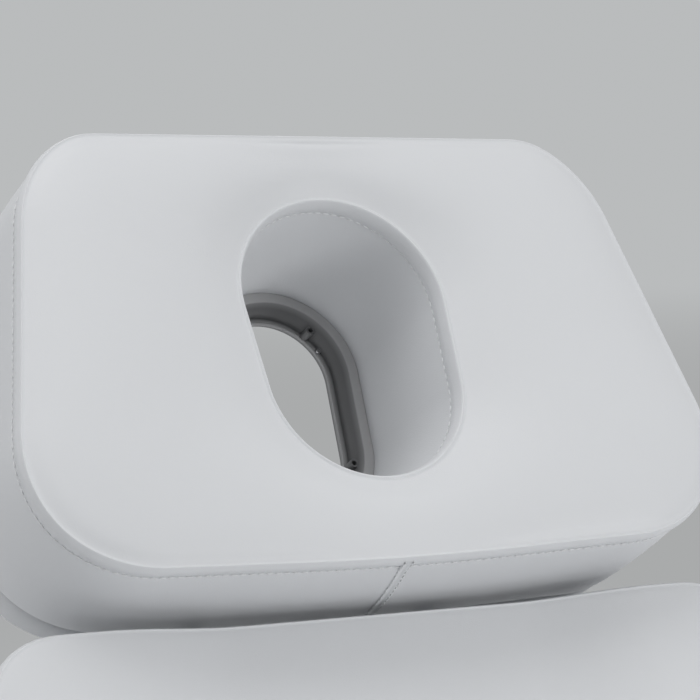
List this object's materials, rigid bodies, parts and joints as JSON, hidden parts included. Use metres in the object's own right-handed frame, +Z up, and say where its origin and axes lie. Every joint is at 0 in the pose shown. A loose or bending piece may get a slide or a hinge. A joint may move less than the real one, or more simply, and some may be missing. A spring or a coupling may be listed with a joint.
{
  "type": "beauty treatment chair",
  "caption": "Electric beauty treatment chair: white vinyl seat, back and leg sections, headrest with a face hole, swing-up armrests, telescopic column on a covered base.",
  "frame": {"origin": "on the floor, under the middle of the chair's box at rest", "axes": "+Z up, +Y towards the head end, +X to the right as seen from the foot end"},
  "size_m": [0.7742, 1.4916, 1.4484],
  "materials": {
    "vinyl": "smooth white vinyl, fine grain, satin",
    "vinyl_underside": "white vinyl wrapped round a board, satin",
    "board": "plywood wrapped in white vinyl",
    "ring_plastic": "grey moulded plastic, satin",
    "white_plastic": "white moulded plastic, semi-gloss",
    "black_plastic": "black moulded plastic, fine texture",
    "frame_paint": "grey powder coat",
    "steel": "bright drawn steel",
    "rubber": "black rubber, matt"
  },
  "bodies": {
    "base": {"base_frame": "frame_paint", "base_cover": "white_plastic", "foot_front_left": "rubber", "foot_front_right": "rubber", "foot_rear_left": "rubber", "foot_rear_right": "rubber", "column_outer": "white_plastic", "lift_motor": "black_plastic", "control_box": "black_plastic", "mains_inlet": "black_plastic", "handset_socket": "black_plastic"},
    "column_stage": {"column_middle": "white_plastic", "lift_tube": "steel"},
    "seat": {"column_inner": "white_plastic", "lift_rod": "steel", "seat_frame": "frame_paint", "seat_board": "board", "seat_cushion": "vinyl", "leg_hinge_shaft": "steel", "back_motor": "black_plastic", "leg_motor": "black_plastic", "side_plate_left": "frame_paint", "side_plate_right": "frame_paint", "back_pivot_left": "steel", "back_pivot_right": "steel", "armrest_pivot_left": "steel", "armrest_pivot_right": "steel"},
    "back": {"back_frame": "frame_paint", "back_board": "board", "back_cushion": "vinyl", "back_lever_pin": "steel", "head_guide_left": "steel", "head_guide_right": "steel"},
    "back_push": {"back_push_rod": "steel"},
    "leg": {"leg_frame": "frame_paint", "leg_board": "board", "leg_cushion": "vinyl", "leg_lever_pin": "steel"},
    "leg_push": {"leg_push_rod": "steel"},
    "head_carrier": {"head_carrier": "steel", "head_hinge_pin": "steel"},
    "headrest": {"headrest_board": "vinyl_underside", "headrest_cushion": "vinyl", "face_hole_ring": "ring_plastic", "headrest_bracket": "frame_paint"},
    "armrest_left": {"armrest_arm_left": "frame_paint", "armrest_board_left": "board", "armrest_pad_left": "vinyl"},
    "armrest_right": {"armrest_arm_right": "frame_paint", "armrest_board_right": "board", "armrest_pad_right": "vinyl"}
  },
  "joints": [
    {"name": "lift", "type": "slide", "parent": "base", "child": "seat", "axis": [0, 0, 1], "range_m": [0, 0.3]},
    {"name": "column_follow", "type": "slide", "parent": "base", "child": "column_stage", "axis": [0, 0, 1], "range_m": [0, 0.15]},
    {"name": "back_recline", "type": "hinge", "parent": "seat", "child": "back", "pos_m": [0, 0.23724, 0.57], "axis": [1, 0, 0], "range_deg": [-61, 14]},
    {"name": "back_push", "type": "slide", "parent": "seat", "child": "back_push", "axis": [0, 1, 0], "range_m": [-0.1723, 0.0403]},
    {"name": "leg_swing", "type": "hinge", "parent": "seat", "child": "leg", "pos_m": [0, -0.30476, 0.4644], "axis": [1, 0, 0], "range_deg": [-40, 30]},
    {"name": "leg_push", "type": "slide", "parent": "seat", "child": "leg_push", "axis": [0, 1, 0], "range_m": [-0.0676, 0.0509]},
    {"name": "head_slide", "type": "slide", "parent": "back", "child": "head_carrier", "axis": [0, 0.4848, 0.8746], "range_m": [0, 0.1]},
    {"name": "head_tilt", "type": "hinge", "parent": "head_carrier", "child": "headrest", "pos_m": [0, 0.64978, 1.1451], "axis": [1, 0, 0], "range_deg": [-40, 5]},
    {"name": "armrest_left_swing", "type": "hinge", "parent": "seat", "child": "armrest_left", "pos_m": [0, 0.15724, 0.73], "axis": [-1, 0, 0], "range_deg": [0, 90]},
    {"name": "armrest_right_swing", "type": "hinge", "parent": "seat", "child": "armrest_right", "pos_m": [0, 0.15724, 0.73], "axis": [-1, 0, 0], "range_deg": [0, 90]}
  ],
  "couplings": [
    {"joint": "column_follow", "follows": "lift", "ratio": 0.5},
    {"joint": "back_push", "follows": "back_recline", "m_per_rad": 0.1609},
    {"joint": "leg_push", "follows": "leg_swing", "m_per_rad": 0.095336}
  ]
}
